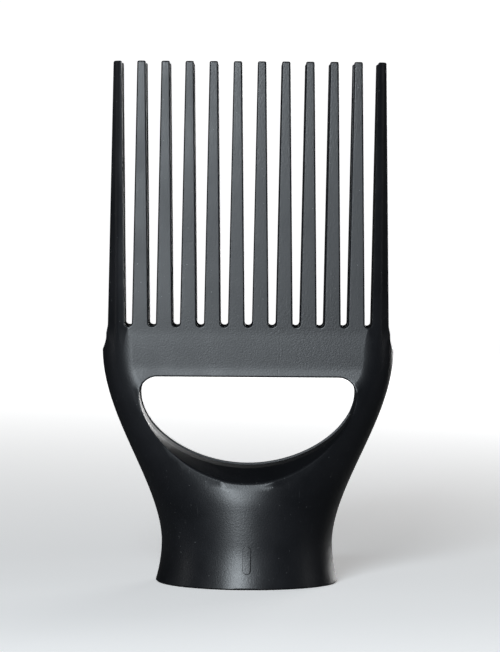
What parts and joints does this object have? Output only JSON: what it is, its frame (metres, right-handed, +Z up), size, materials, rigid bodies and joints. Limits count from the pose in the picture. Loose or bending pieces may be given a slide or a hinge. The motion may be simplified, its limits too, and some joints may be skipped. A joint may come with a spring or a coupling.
{
  "type": "comb nozzle for a hair dryer",
  "caption": "Black plastic comb nozzle that pushes onto a hair dryer, with a round swivel collar, a wide window and two rows of long tapered teeth.",
  "frame": {"origin": "centre of the collar's bottom ring, on the surface it stands on", "axes": "+Z up along the collar's axis to the tips of the teeth, -Y the front with the index mark, X across the rows of teeth"},
  "size_m": [0.0858, 0.0536, 0.153],
  "materials": {
    "black_plastic": "satin, very fine grain",
    "liner_plastic": "satin",
    "sleeve_plastic": "satin",
    "white_acetal": "smooth",
    "grey_silicone": "matt",
    "spring_steel": "rolled strip"
  },
  "bodies": {
    "comb_body": {"front_comb_shell": "black_plastic", "rear_comb_shell": "black_plastic", "window_liner": "liner_plastic", "glide_ring": "white_acetal"},
    "coupling": {"coupling_sleeve": "sleeve_plastic", "barrel_seal": "grey_silicone"},
    "front_spring": {"front_grip_spring": "spring_steel"},
    "right_spring": {"right_grip_spring": "spring_steel"},
    "rear_spring": {"rear_grip_spring": "spring_steel"},
    "left_spring": {"left_grip_spring": "spring_steel"}
  },
  "joints": [
    {"name": "collar_swivel", "type": "hinge", "parent": "comb_body", "child": "coupling", "pos_m": [0, 0, 0], "axis": [0, 0, 1], "continuous": true},
    {"name": "front_spring_flex", "type": "hinge", "parent": "coupling", "child": "front_spring", "pos_m": [0, -0.022, 0.0164], "axis": [-1, 0, 0], "range_deg": [0, 2.2], "stiffness_Nm_per_rad": 0.6},
    {"name": "right_spring_flex", "type": "hinge", "parent": "coupling", "child": "right_spring", "pos_m": [0.022, 0, 0.0164], "axis": [0, -1, 0], "range_deg": [0, 2.2], "stiffness_Nm_per_rad": 0.6},
    {"name": "rear_spring_flex", "type": "hinge", "parent": "coupling", "child": "rear_spring", "pos_m": [0, 0.022, 0.0164], "axis": [1, 0, 0], "range_deg": [0, 2.2], "stiffness_Nm_per_rad": 0.6},
    {"name": "left_spring_flex", "type": "hinge", "parent": "coupling", "child": "left_spring", "pos_m": [-0.022, 0, 0.0164], "axis": [0, 1, 0], "range_deg": [0, 2.2], "stiffness_Nm_per_rad": 0.6}
  ]
}
